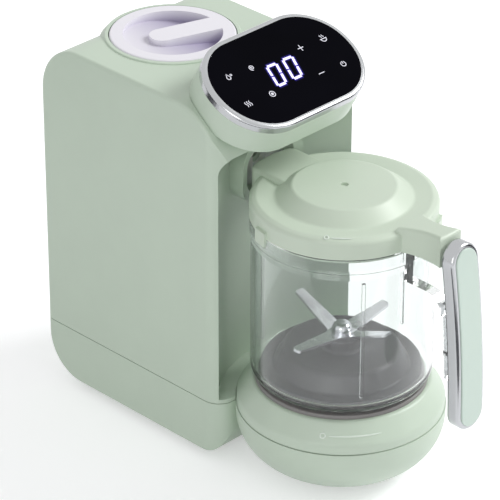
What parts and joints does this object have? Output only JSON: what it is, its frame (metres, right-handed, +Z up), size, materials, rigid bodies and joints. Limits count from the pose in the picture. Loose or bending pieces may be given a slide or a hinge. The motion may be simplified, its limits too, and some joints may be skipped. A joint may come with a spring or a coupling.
{
  "type": "baby food maker",
  "caption": "Countertop baby food maker: sage-green column with a water tank and tilted touch panel, and a clear steaming and blending jug with lid and handle on a round drive pedestal.",
  "frame": {"origin": "on the floor, under the middle of the whole object", "axes": "+X to the object's left as it faces forward, +Y to the back, +Z up; jug and panel face -Y"},
  "size_m": [0.128, 0.3028, 0.2633],
  "materials": {
    "sage_plastic": "satin",
    "lid_plastic": "satin",
    "grip_plastic": "satin",
    "white_plastic": "satin",
    "dark_plastic": "matt",
    "blade_base_dark": "satin",
    "clear_jug": "clear",
    "black_glass": "polished",
    "bright_chrome": "polished",
    "steel": "brushed",
    "sintered_bronze": "matt",
    "iron_core": "matt",
    "heater_alloy": "cast",
    "rubber_feet": "matt",
    "black_rubber": "matt",
    "silicone": "matt",
    "board_green": "satin",
    "component_plastic": "satin"
  },
  "bodies": {
    "housing": {"base_tray": "sage_plastic", "column_shell": "sage_plastic", "pedestal_cover": "sage_plastic", "pod_shell": "sage_plastic", "steam_port": "sage_plastic", "motor_end_cap": "dark_plastic", "interlock_switch": "dark_plastic", "cord_gland": "dark_plastic", "touch_glass": "black_glass", "pod_bezel": "bright_chrome", "tray_screws": "steel", "cover_screws": "steel", "bracket_screws": "steel", "tank_screws": "steel", "pod_screws": "steel", "board_screws": "steel", "motor_can": "steel", "motor_bracket": "steel", "tank_vessel": "steel", "heating_element": "steel", "interlock_spring": "steel", "touch_springs": "steel", "spindle_bushes": "sintered_bronze", "motor_magnets": "iron_core", "heater_plate": "heater_alloy", "feet": "rubber_feet", "drive_belt": "black_rubber", "steam_gasket": "silicone", "steam_hose": "silicone", "control_board": "board_green", "power_board": "board_green", "board_parts": "component_plastic", "display_module": "component_plastic", "tank_thermostat": "component_plastic", "wire_loom": "component_plastic"},
    "rotor": {"motor_armature": "iron_core", "motor_shaft": "steel", "motor_pulley": "dark_plastic"},
    "spindle": {"spindle": "steel", "spindle_pulley": "dark_plastic", "drive_coupling": "dark_plastic"},
    "seat": {"jug_seat_ring": "dark_plastic"},
    "jug": {"jug_body": "clear_jug", "handle_frame": "bright_chrome", "handle_grip": "grip_plastic", "handle_screws": "steel", "blade_base": "blade_base_dark", "blade_seal": "silicone", "blade_bush": "sintered_bronze", "base_nut": "dark_plastic"},
    "blades": {"blade_shaft": "steel", "blade": "steel", "blade_cap": "steel", "driven_coupling": "dark_plastic"},
    "lid_ring": {"lid_seal": "silicone"},
    "lid": {"jug_lid": "lid_plastic"},
    "tank_ring": {"tank_lid_seal": "silicone"},
    "tank_cap": {"tank_lid": "white_plastic"},
    "interlock": {"interlock_pin": "dark_plastic"}
  },
  "joints": [
    {"name": "motor_spin", "type": "hinge", "parent": "housing", "child": "rotor", "pos_m": [0, 0.06094, 0.07], "axis": [0, 0, 1], "continuous": true},
    {"name": "spindle_spin", "type": "hinge", "parent": "housing", "child": "spindle", "pos_m": [0, -0.04706, 0.04], "axis": [0, 0, 1], "continuous": true},
    {"name": "jug_twist", "type": "hinge", "parent": "housing", "child": "seat", "pos_m": [0, -0.04706, 0.06], "axis": [0, 0, 1], "range_deg": [-30, 0]},
    {"name": "jug_out", "type": "slide", "parent": "seat", "child": "jug", "axis": [0, -0.866, 0.5], "range_m": [0, 0.19]},
    {"name": "blade_spin", "type": "hinge", "parent": "jug", "child": "blades", "pos_m": [0, -0.04706, 0.08], "axis": [0, 0, 1], "continuous": true},
    {"name": "lid_lift", "type": "slide", "parent": "jug", "child": "lid_ring", "axis": [0, 0, 1], "range_m": [0, 0.018]},
    {"name": "lid_twist", "type": "hinge", "parent": "lid_ring", "child": "lid", "pos_m": [0, -0.04706, 0.175], "axis": [0, 0, 1], "range_deg": [0, 40]},
    {"name": "tank_lid_lift", "type": "slide", "parent": "housing", "child": "tank_ring", "axis": [0, 0, 1], "range_m": [0, 0.06]},
    {"name": "tank_lid_twist", "type": "hinge", "parent": "tank_ring", "child": "tank_cap", "pos_m": [0, 0.09654, 0.235], "axis": [0, 0, 1], "range_deg": [0, 60]},
    {"name": "interlock", "type": "slide", "parent": "housing", "child": "interlock", "axis": [0, 0, 1], "range_m": [-0.002, 0], "stiffness_N_per_m": 200, "springref_m": 0.001, "deforming": ["interlock_spring"]}
  ],
  "couplings": [
    {"joint": "spindle_spin", "follows": "motor_spin", "ratio": 0.5},
    {"joint": "blade_spin", "follows": "motor_spin", "ratio": 0.5}
  ]
}
